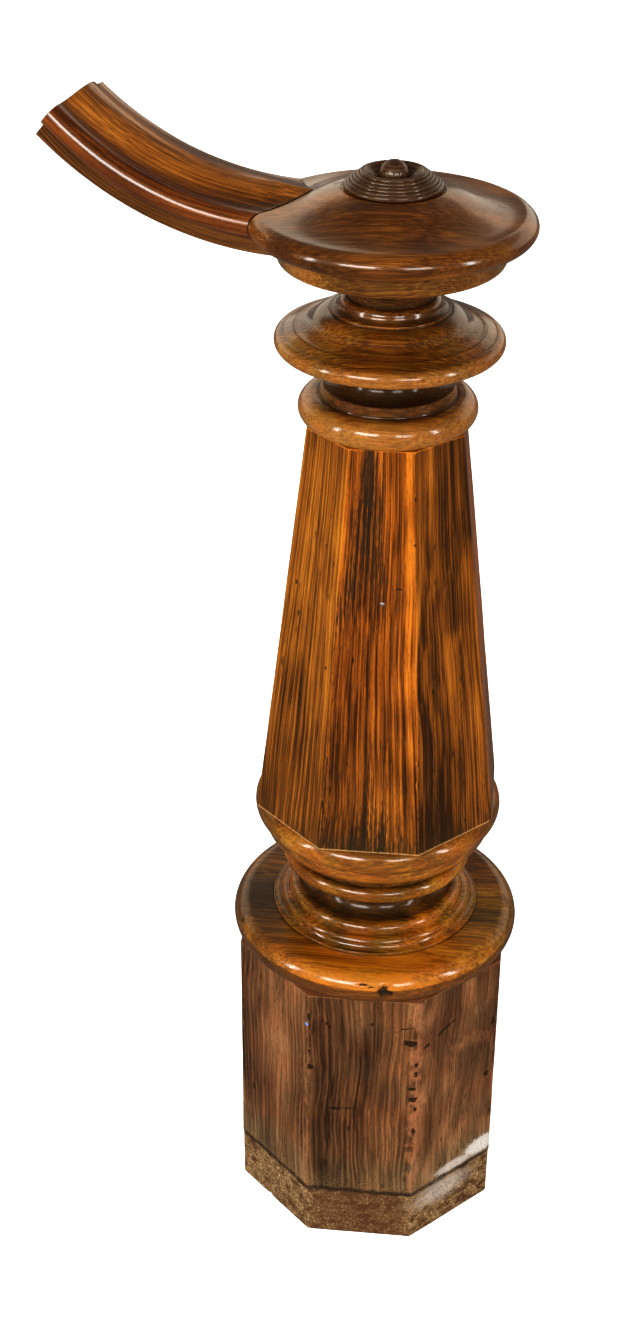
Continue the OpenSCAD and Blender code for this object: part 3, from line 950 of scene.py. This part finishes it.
fill(tree, p["shader"], {
    "Base Color": colour,
    "Roughness": plus(tree, p["rough"], times(tree, unpolished, 0.4)),
    "Coat Weight": times(tree, p["sheen"], minus(tree, 1.0, unpolished)),
})
fill(tree, p["bump"], {"Height": plus(tree, p["high"], times(tree, fine, 2.5, band))})
hand_over(base_block, "base_block", block_finish)


# %% [markdown]
# ## The tapered shaft
# The shaft is the brightest piece. Black streaks run up its faces, its two front arrises are
# rubbed back to orange wood, and a small nail is left in the front face. A little old glue shows
# at its foot. Its flats were planed along the grain, so the grain closes in with the taper.

# %% Shaft
shaft_low, shaft_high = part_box("shaft")
FOOT_W, FOOT_Z, HEAD_Z = 2 * shaft_high.x / MM, shaft_low.z / MM, shaft_high.z / MM
HEAD_W = 139.2


def share_up(height):
    return (height - FOOT_Z) / (HEAD_Z - FOOT_Z)


def shaft_width(height):
    return FOOT_W + (HEAD_W - FOOT_W) * share_up(height)


rows = []
for z in np.linspace(FOOT_Z, HEAD_Z, 190):
    arris = [1.3 + 1.2 * noise.noise(Vector((corner * 3.7, z / 30, 4))) for corner in range(8)]
    rows.append(eight_sided(shaft_width(z), arris, z, 34))
shaft = skin("shaft_worn", rows, caps=end_caps(rows))
wobble(shaft, 0.3, 50)
print("the shaft tapers from", round(FOOT_W, 1), "to", HEAD_W, "mm across its flats")

# %% Knocks on the shaft
shaft_knocks = [
    (LEFT, 25, 763, 1.6, 0.7, (0.2, 0, -1), 8),
    (LEFT, 14, 775, 0.9, 0.3, (0.3, 0, -1), 12),
    (LEFT, -22, 726, 2.0, 0.7, UP, 3.5),
    (LEFT, -15, 698, 2.2, 0.7, UP, 4),
    (LEFT, 1, 708, 1.8, 0.6, (0.6, 0.5, 0.6), 5),
    (LEFT, 29, 661, 2.2, 0.7, SIDE, 3),
    (LEFT, 45, 526, 2.4, 0.8, UP, 7),
    (FRONT, -20, 674, 2.0, 0.5, UP, 6),
    (FRONT, -15, 745, 1.8, 0.5, UP, 4),
    (FRONT, 20, 745, 2.0, 0.6, SIDE, 4),
    (FRONT, 32, 787, 1.8, 0.7, UP, 3),
    (FRONT, 31, 829, 1.5, 0.7, UP, 2.5),
    (FRONT, 40, 680, 1.5, 0.9, UP, 9),
    (FRONT, 41, 660, 1.8, 0.9, UP, 6),
    (FRONT, 41, 640, 1.5, 0.7, UP, 4),
    (FRONT, 43.5, 616, 2.4, 1.0, UP, 5),
    (FRONT, 44.5, 575, 2.4, 1.0, UP, 6),
    (FRONT, 45, 553, 2.0, 0.9, UP, 7),
    (FRONT, -44, 576, 2.2, 0.8, UP, 4),
    (RIGHT, 13, 492, 2.6, 0.8, UP, 3.5),
    (RIGHT, -20, 640, 1.6, 0.4, UP, 5),
    (RIGHT, 46, 480, 3.0, 1.3, UP, 5),
    (90, 12, 610, 2.2, 0.6, UP, 6),
    (135, -10, 700, 1.8, 0.5, UP, 5),
    (180, 16, 560, 2.4, 0.7, SIDE, 5),
]
knock(shaft, [
    (on_face(face, slide, height, shaft_width(height)), size, depth, way, run)
    for face, slide, height, size, depth, way, run in shaft_knocks
])
settle_age(shaft, reach=14, full=0.4)
print(len(shaft_knocks), "knocks on the shaft")


# %% Fading and soot on the shaft
def shaft_faded(at):
    face, share, patchy = face_of(at), share_up(at[:, 2]), mottle(at * [1, 1, 0.35], 14)
    strip = beside(at, -67.5, -8.5, 0.3, 1.2) * np.clip((share - 0.2) / 0.2, 0, 1)
    edge_line = beside(at, -112.5, -5.5, 0.3, 0.8)
    return (-0.06 * (face == LEFT) - 0.10 * (face == RIGHT) + 0.12 * patchy
            - 0.14 * np.clip(1 - share / 0.45, 0, 1) + strip * (0.34 + 0.25 * patchy) + 0.2 * edge_line)


def shaft_olive(at):
    face, low = face_of(at), np.clip(1 - share_up(at[:, 2]) / 0.4, 0, 1)
    return np.where(face == LEFT, 0.4, np.where(face == RIGHT, 0.3, 0.3 * low))


def shaft_sooty(at):
    face, share = face_of(at), share_up(at[:, 2])
    low, head = np.clip(1 - share / 0.45, 0, 1), np.clip(share * 2.2 - 1.1, 0, 1)
    front = 0.75 * low + 0.35 * hump(slide_of(at, FRONT), -12, 14) * head - 0.1
    right = 0.4 * hump(slide_of(at, RIGHT), -25, 14) * low - 0.25
    sooty = np.where(face == FRONT, front, np.where(face == RIGHT, right, -0.6))
    return sooty - 0.6 * beside(at, -67.5, -9, 0.3)


uneven(shaft, shaft_faded, shaft_olive, shaft_sooty)
planed = points_of(shaft)
planed[:, :2] *= (FOOT_W / shaft_width(planed[:, 2] / MM))[:, None]
lay_grain(shaft, planed)
print("soot on the shaft:", [round(float(limit(read(shaft, "sooty"))), 2) for limit in (np.min, np.max)])

# %% Shaft material
SHAFT_TONES = [(0.10, (0.030, 0.010, 0.002)), (0.36, (0.12, 0.033, 0.002)),
               (0.60, (0.24, 0.066, 0.003)), (0.90, (0.40, 0.130, 0.008))]
shaft_finish, p = wood("amber streaked mahogany", SHAFT_TONES, (0.52, 0.17, 0.020), mix=(0.34, 0.46, 0.20),
                       pith=(0.30, 0.25), ring=0.007, wander=0.016, dirt_and_shade_amount=0.8, rub=0.85, streak=0.9,
                       speck=0.6, pores=0.55, gloss=0.34, coat=0.35, coat_rough=0.2)
tree = p["tree"]
fine = cloud(tree, p["place"], (300, 300, 260), 4.0, 0.7)
edge = plus(tree, axis_of(tree, p["place"], 2), swing(tree, fine, 0.006))
soot = between(tree, edge, (FOOT_Z + 26) * MM, (FOOT_Z + 2) * MM, 0.0, 0.55)
soot = times(tree, soot, between(tree, p["fibre"], 0.3, 0.9, 1.0, 0.1))
colour = blend(tree, soot, p["colour"], (0.030, 0.020, 0.008, 1))
glue = between(tree, edge, (FOOT_Z + 0.4) * MM, (FOOT_Z + 1.8) * MM, 1.0, 0.0)
glue = times(tree, glue, between(tree, fine, 0.35, 0.55, 0.2, 0.85))
colour = blend(tree, glue, colour, (0.42, 0.25, 0.10, 1))
fill(tree, p["shader"], {"Base Color": colour})
hand_over(shaft, "shaft", shaft_finish)


# %% [markdown]
# A round nail head stands just proud of the front face. It is so small that a low dome of a few
# rings is enough, but it is bent iron, so it is squashed a little and not quite round.

# %% Nail
iron, tree, shader = new_material("old iron")
spots = cloud(tree, add(tree, "TexCoord", out="Object"), (900, 900, 900), 3.0)
fill(tree, shader, {
    "Base Color": tone_ramp(tree, spots, [(0.3, (0.05, 0.04, 0.03)), (0.7, (0.42, 0.38, 0.33))]),
    "Metallic": 0.7,
    "Roughness": between(tree, spots, 0.3, 0.7, 0.6, 0.3),
})
nail_at = Vector(on_face(FRONT, 5, 730, shaft_width(730)))
rows = []
for lift in np.radians(np.linspace(0, 90, 8)):
    size, rise = 2.3 * math.cos(lift), 1.2 * math.sin(lift)
    rows.append([nail_at + Vector((size * math.cos(a), 0.2 - rise, 0.8 * size * math.sin(a)))
                 for a in np.radians(range(0, 360, 15))])
nail = skin("nail_head", rows)
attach(nail, "root")
nail.data.materials.append(iron)
print("nail head at", [round(v) for v in nail_at])


# %% [markdown]
# ## The mitre cap
# The cap is turned like the necks, then a V is sawn out of it for the handrail. The rows run
# round the axis from one wall of the V to the other, so the cut is part of the mesh and needs no
# boolean. Where a row lies inside the tip of the V, its two ends meet and close.

# %% Cap outline
CAP_LOW_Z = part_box("mitre_cap")[0].z / MM
CAP_R = 124
TIER_R, TOP_R, CROWN_R = CAP_R - 22, CAP_R - 12.46, 25
NOSE_MID, HALF_NOSE, CROWN_Z = CAP_LOW_Z + 32.6, 11, CAP_LOW_Z + 64
NOSE_LOW, NOSE_HIGH = NOSE_MID - HALF_NOSE, NOSE_MID + HALF_NOSE
SEAT_R, SEAT_Z = 44.5, CROWN_Z - 1.8
cap_outline = thinned(
    line((0, CAP_LOW_Z), (94, CAP_LOW_Z), 6) + arc(94, CAP_LOW_Z + 5, 5, -90, 0, 8)
    + line((99, CAP_LOW_Z + 5), (TIER_R, NOSE_LOW - 0.4), 1.6)
    + line((TIER_R, NOSE_LOW), (TOP_R, NOSE_LOW), 1.5)
    + arc(TOP_R, NOSE_MID + 2, 13, -90, -30, 10)
    + arc(CAP_R - 9, NOSE_MID, 9, -30, 30, 12)
    + arc(TOP_R, NOSE_MID - 2, 13, 30, 90, 10)
    + [q for q in ogee(TOP_R, CROWN_R, NOSE_HIGH, CROWN_Z, 26) if q[0] > SEAT_R + 0.6]
    + line((SEAT_R + 0.5, SEAT_Z + 0.4), (SEAT_R, SEAT_Z), 0.4) + line((SEAT_R - 1, SEAT_Z), (0, SEAT_Z), 5)
)
print("cap outline has", len(cap_outline), "points")

# %% Cap mesh
RAIL_WAY = 180 - 14
HALF_RAIL, MITRE_TIP = 61, 72
MITRE_ROOT = math.sqrt(CAP_R**2 - HALF_RAIL**2)
FLARE = HALF_RAIL / (MITRE_ROOT - MITRE_TIP)
AROUND = 330


def mitre_angle(radius):
    """Half the angle that the V takes out of a ring of this radius."""
    if radius <= MITRE_TIP:
        return 0.0
    slope = 1 / FLARE
    return math.acos(MITRE_TIP / radius / math.hypot(1, slope)) - math.atan(slope)


rows = []
for radius, height in cap_outline:
    cut = mitre_angle(radius)
    sweep = np.linspace(cut, math.tau - cut, AROUND) + math.radians(RAIL_WAY)
    rows.append([(radius * math.cos(a), radius * math.sin(a), height) for a in sweep])
print("the V takes", round(2 * math.degrees(mitre_angle(CAP_R))), "degrees out of the cap's edge")
outside = [n for n, q in enumerate(cap_outline) if q[0] > MITRE_TIP]
walls = [tuple(n * AROUND for n in outside), tuple(n * AROUND + AROUND - 1 for n in reversed(outside))]
cap = skin("mitre_cap_turned", rows, closed=False, caps=walls)
knock(cap, [
    (spot_at(-73, 121, NOSE_MID + 5), 1.0, 0.3, UP, 2.4),
    (spot_at(-75, 121, NOSE_MID + 5), 0.8, 0.3, UP, 2.0),
    (spot_at(-62, 122, NOSE_MID + 1), 1.3, 0.4, UP, 2.2),
    (spot_at(-52, 121, NOSE_MID + 4), 0.9, 0.3, SIDE, 2.4),
    (spot_at(-101, 66, CROWN_Z - 6), 1.7, 0.5, SIDE, 2.6),
    (spot_at(-58, 108, NOSE_MID + 12), 1.0, 0.3, SIDE, 3.0),
])
wobble(cap, 0.08, 40)
settle_age(cap, [(SEAT_R, CROWN_Z - 3), (TIER_R, NOSE_LOW), (40, CAP_LOW_Z)], reach=24, full=2.2)


# %% [markdown]
# The saw cut has filled with dirt. The distance from each point to the two walls of the V is
# known, so the joint's dark line is another crevice.

# %% Mitre joint
OUTWARD = math.radians(RAIL_WAY)


def along_and_aside(at):
    """How far out each point is along the rail's way, and how far to its left."""
    return (at[:, 0] * math.cos(OUTWARD) + at[:, 1] * math.sin(OUTWARD),
            -at[:, 0] * math.sin(OUTWARD) + at[:, 1] * math.cos(OUTWARD))


def dirty_joint(piece, width=1.3):
    """Dirt lies where a point is near a wall of the V."""
    along, aside = along_and_aside(points_of(piece) / MM)
    out, aside = along - MITRE_TIP, np.abs(aside)
    wall_out, wall_aside = np.array([1 / FLARE, 1.0]) / math.hypot(1, 1 / FLARE)
    past_tip = out * wall_out + aside * wall_aside > 0
    gap = np.where(past_tip, np.abs(out * wall_aside - aside * wall_out), np.hypot(out, aside))
    store(piece, "crevice", np.exp(-((gap / width) ** 2)) * 1.3)


def cap_faded(at):
    nose = facing(at, -95, 45) * hump(at[:, 2], NOSE_MID, 7)
    return 0.20 + 0.14 * mottle(at, 35) - 0.16 * nose


dirty_joint(cap)
uneven(cap, cap_faded,
       lambda at: np.clip(0.4 * (at[:, 2] < NOSE_LOW) + 0.5 * mottle(at, 30, 4), 0, 1))
lay_level_grain(cap, 0.4)
hand_over(cap, "mitre_cap", cap_finish)


# %% [markdown]
# ## The rosette button
# A small turned button covers the bolt that pulls the cap down. It has a bead at its foot, five
# turned rings, a sharp rim and a ball in a ring of small carved petals.

# %% Rosette
SEAT = SEAT_Z + 0.05
RIM_Z, BALL_R = SEAT + 15.6, 12.5
RINGS = 5
outline = line((0, SEAT), (41, SEAT), 8) + arc(40.1, SEAT + 2.6, 2.6, -90, 95, 14)
first, last = np.array((38, SEAT + 5.2)), np.array((27.1, RIM_Z - 2.1))
for n in range(RINGS):
    outline += arc(*(first + (last - first) * n / (RINGS - 1)), 2.1, -25, 115, 9)
outline += [(25.6, RIM_Z - 0.2), (25, RIM_Z), (24.4, RIM_Z - 0.3)]
outline += line((24, RIM_Z - 1), (16.5, RIM_Z - 8.4), 0.9) + line((16, RIM_Z - 8.8), (0, RIM_Z - 8.8), 4)
print("rosette outline has", len(outline), "points")
rosette = turned("rosette_turned", outline, around=240)
settle_age(rosette, [(43.5, SEAT + 0.2), (38, SEAT + 5.6), (16, RIM_Z - 8)], reach=8, full=0.35)

# %% Ball and petals
BALL_Z = RIM_Z + 8.8 - BALL_R
PETALS, PETAL_R, PETAL_Z = 14, 14.6, RIM_Z - 8.4


def ball_point(lift, turn):
    """The ball has two shallow grooves, and its foot is scalloped like the petals round it."""
    level = math.cos(math.radians(lift))
    from_groove = (turn + math.pi / 2.1) % math.pi - math.pi / 2
    groove = 0.7 * math.exp(-((from_groove / 0.09) ** 2)) * max(0, level)
    scallop = 0.5 * abs(math.sin(turn * PETALS / 2)) * max(0, 1 - abs(lift + 6) / 32)
    size = BALL_R - groove + scallop
    return (size * level * math.cos(turn), size * level * math.sin(turn),
            BALL_Z + size * math.sin(math.radians(lift)))


def petal_point(middle, lift, turn):
    out = PETAL_R + 1.9 * math.cos(lift) * math.cos(turn)
    aside = 2.7 * math.cos(lift) * math.sin(turn)
    return (out * math.cos(middle) - aside * math.sin(middle),
            out * math.sin(middle) + aside * math.cos(middle), PETAL_Z + 3.6 * math.sin(lift))


around_ball = np.linspace(0, math.tau, 96, endpoint=False)
around_petal = np.linspace(0, math.tau, 16, endpoint=False)
ball = skin("rosette_ball", [[ball_point(lift, turn) for turn in around_ball]
                             for lift in np.linspace(-60, 90, 40)], sharp=60)
settle_age(ball, [(12.4, RIM_Z - 7)], reach=8, full=0.25)
petals = []
for n in range(PETALS):
    petal = skin(f"petal_{n}", [[petal_point(math.tau * n / PETALS, lift, turn) for turn in around_petal]
                                for lift in np.radians(np.linspace(0, 90, 7))])
    settle_age(petal, reach=2, full=0.3)
    petals.append(petal)
print("the ball sits among", len(petals), "petals")

# %% Rosette finish
ROSETTE_TONES = [(0.05, (0.016, 0.008, 0.004)), (0.5, (0.048, 0.023, 0.011)), (0.95, (0.11, 0.056, 0.028))]
rosette_finish, _ = wood("dark turned rosette", ROSETTE_TONES, (0.20, 0.11, 0.06), ring=0.003, speck=0.3,
                         dirt_and_shade_amount=0.95, rub=0.55, coat=0.45, coat_rough=0.16)
bpy.ops.object.select_all(action="DESELECT")
for part in [rosette, ball] + petals:
    lay_level_grain(part)
    part.select_set(True)
bpy.context.view_layer.objects.active = rosette
bpy.ops.object.join()
hand_over(rosette, "rosette", rosette_finish)


# %% [markdown]
# ## The handrail
# The rail has one moulded section, swept along a short level length and then up a curve. Each
# long line of the skin starts where it meets the wall of the V, so the rail's end is mitred to
# match the cap. The outer end is cut square.

# %% Rail section
def rail_section():
    """Points round the section, (sideways, up) from the middle of its rounded edges."""
    edge, crown = 50, 12.5
    over = ogee(edge, 0, HALF_NOSE, HALF_NOSE + crown, 20)[::-1] + arc(edge, 0, HALF_NOSE, 90, -84, 24)
    under = line((46.5, -10.6), (39.8, -10.8), 1.3) + line((39.0, -11.6), (36.2, -28.5), 1.5)
    under += arc(33.2, -28.4, 2.6, 0, -90, 5) + line((30.5, -31), (0, -31), 2.5)
    half = over + under
    return thinned(half) + [(-x, z) for x, z in reversed(half) if x > 0.01]


section = rail_section()
print("rail section has", len(section), "points")


# %% Rail skin
LEVEL, BEND, SWEEP = 95, 290, math.radians(42.6)
END = LEVEL + BEND * SWEEP
ROLL = math.radians(5.2)


def rise_at(up, distance):
    """Where a point of the section is, that far out from the post's axis along its own line."""
    if distance <= LEVEL:
        return distance, up
    turn = (distance - LEVEL) / BEND
    return LEVEL + (BEND - up) * math.sin(turn), BEND - (BEND - up) * math.cos(turn)


def cap_top(radius):
    """Height of the cap's upper surface above its rounded edge's middle, at that radius."""
    run, rise = TOP_R - CROWN_R, CROWN_Z - NOSE_HIGH
    size = run / math.sin(2 * math.atan(rise / run)) / 2
    return HALF_NOSE + size - math.sqrt(size**2 - min(max(TOP_R - radius, 0), run / 2) ** 2)


def fair(side, up, start, distance):
    """Takes the rail's top down to the cap's where they meet, and rolls it back as it climbs."""
    if up > 11.5:
        proud = up - cap_top(math.hypot(start, side)) - 0.5
        up -= max(proud, 0) * math.exp(-(((distance - start) / 26) ** 2))
    roll = ROLL * max(0, (distance - LEVEL) / (BEND * SWEEP)) ** 1.2
    from_near = side - HALF_RAIL
    return (HALF_RAIL + from_near * math.cos(roll) - up * math.sin(roll),
            up * math.cos(roll) + from_near * math.sin(roll))


def in_post_frame(side, up, distance):
    out, lifted = rise_at(up, distance)
    return [out * math.cos(OUTWARD) - side * math.sin(OUTWARD),
            out * math.sin(OUTWARD) + side * math.cos(OUTWARD), NOSE_MID + lifted]


lines = []
for side, up in section:
    start = MITRE_TIP + abs(side) / FLARE
    if start > LEVEL:
        start = LEVEL + BEND * math.asin((start - LEVEL) / (BEND - up))
    lines.append([in_post_frame(*fair(side, up, start, distance), distance)
                  for distance in np.linspace(start, END, 170)])
rows = np.array(lines).transpose(1, 0, 2)
print("the rail runs", round(END), "mm along its curve, in", len(rows), "rows")
rail = skin("handrail_swept", rows, caps=end_caps(rows))
knock(rail, [
    (in_post_frame(55, 8, 150), 1.2, 0.4, SIDE, 3),
    (in_post_frame(58, 6, 165), 1.0, 0.3, UP, 3),
    (in_post_frame(20, 21, 128), 1.6, 0.4, (1, 0, 0.4), 9),
    (in_post_frame(-5, 23, 210), 1.2, 0.3, (1, 0, 0.6), 4),
])
wobble(rail, 0.2, 45)
settle_age(rail, reach=22, full=0.6)
dirty_joint(rail)


# %% [markdown]
# The grain follows the rail, so its coordinates are the section's own: sideways, up, and the
# distance along the curve. They are worked back from each point, after the wobble and knocks.
# They also say where the near edge is darker, where a pale sheen is painted on the far one, where
# the underside is painted darker as shade, and where the end was sawn off and never polished.

# %% Rail grain
def rail_grain(piece):
    at = points_of(piece) / MM
    along, aside = along_and_aside(at)
    up = at[:, 2] - NOSE_MID
    bent = LEVEL + BEND * np.arctan2(np.maximum(along - LEVEL, 0), BEND - up)
    bent_up = BEND - np.hypot(along - LEVEL, BEND - up)
    level = along <= LEVEL
    return np.stack([aside, np.where(level, up, bent_up), np.where(level, along, bent)], 1) * MM


planks = rail_grain(rail)
lay_grain(rail, planks)
print("the rail's grain is", round(np.ptp(planks[:, 2]) / MM), "mm long")

# %% Rail finish
RAIL_TONES = [(0.08, (0.034, 0.011, 0.002)), (0.38, (0.13, 0.042, 0.004)),
              (0.62, (0.27, 0.092, 0.010)), (0.9, (0.44, 0.170, 0.028))]
rail_finish, p = wood("handrail mahogany", RAIL_TONES, (0.34, 0.13, 0.035), mix=(0.55, 0.37, 0.08),
                      pith=(0.12, 0.18), ring=0.005, streak=0.25, speck=0.35, rub=0.35)
tree = p["tree"]
sideways, up, along = (axis_of(tree, p["place"], n) for n in range(3))
# Darker towards the near edge.
darker_near_edge = between(tree, sideways, 28 * MM, 50 * MM, 0.0, 0.85)
colour = blend(tree, darker_near_edge, p["colour"], (0.42, 0.28, 0.20, 1), "MULTIPLY")
# Painted sheen: a pale tone on the far edge stands in for a reflection.
dust_and_sheen = between(tree, sideways, -58 * MM, -42 * MM, 0.6, 0.0)
colour = blend(tree, dust_and_sheen, colour, (0.42, 0.29, 0.19, 1))
# Painted shade: the underside is darkened.
under = between(tree, up, -13 * MM, -1 * MM, 0.85, 0.0)
colour = blend(tree, under, colour, (0.35, 0.40, 0.60, 1), "MULTIPLY")
sawn = between(tree, along, (END - 0.8) * MM, (END - 0.2) * MM)
end_grain = cloud(tree, p["place"], (1400, 1400, 1), 4.0, 0.7)
end_grain = tone_ramp(tree, end_grain, [(0.3, (0.035, 0.014, 0.005)), (0.7, (0.11, 0.050, 0.020))])
fill(tree, p["shader"], {
    "Base Color": blend(tree, sawn, colour, end_grain),
    "Roughness": largest(tree, p["rough"], times(tree, sawn, 0.85)),
    "Coat Weight": times(tree, p["sheen"], minus(tree, 1.0, sawn)),
})
hand_over(rail, "handrail", rail_finish)
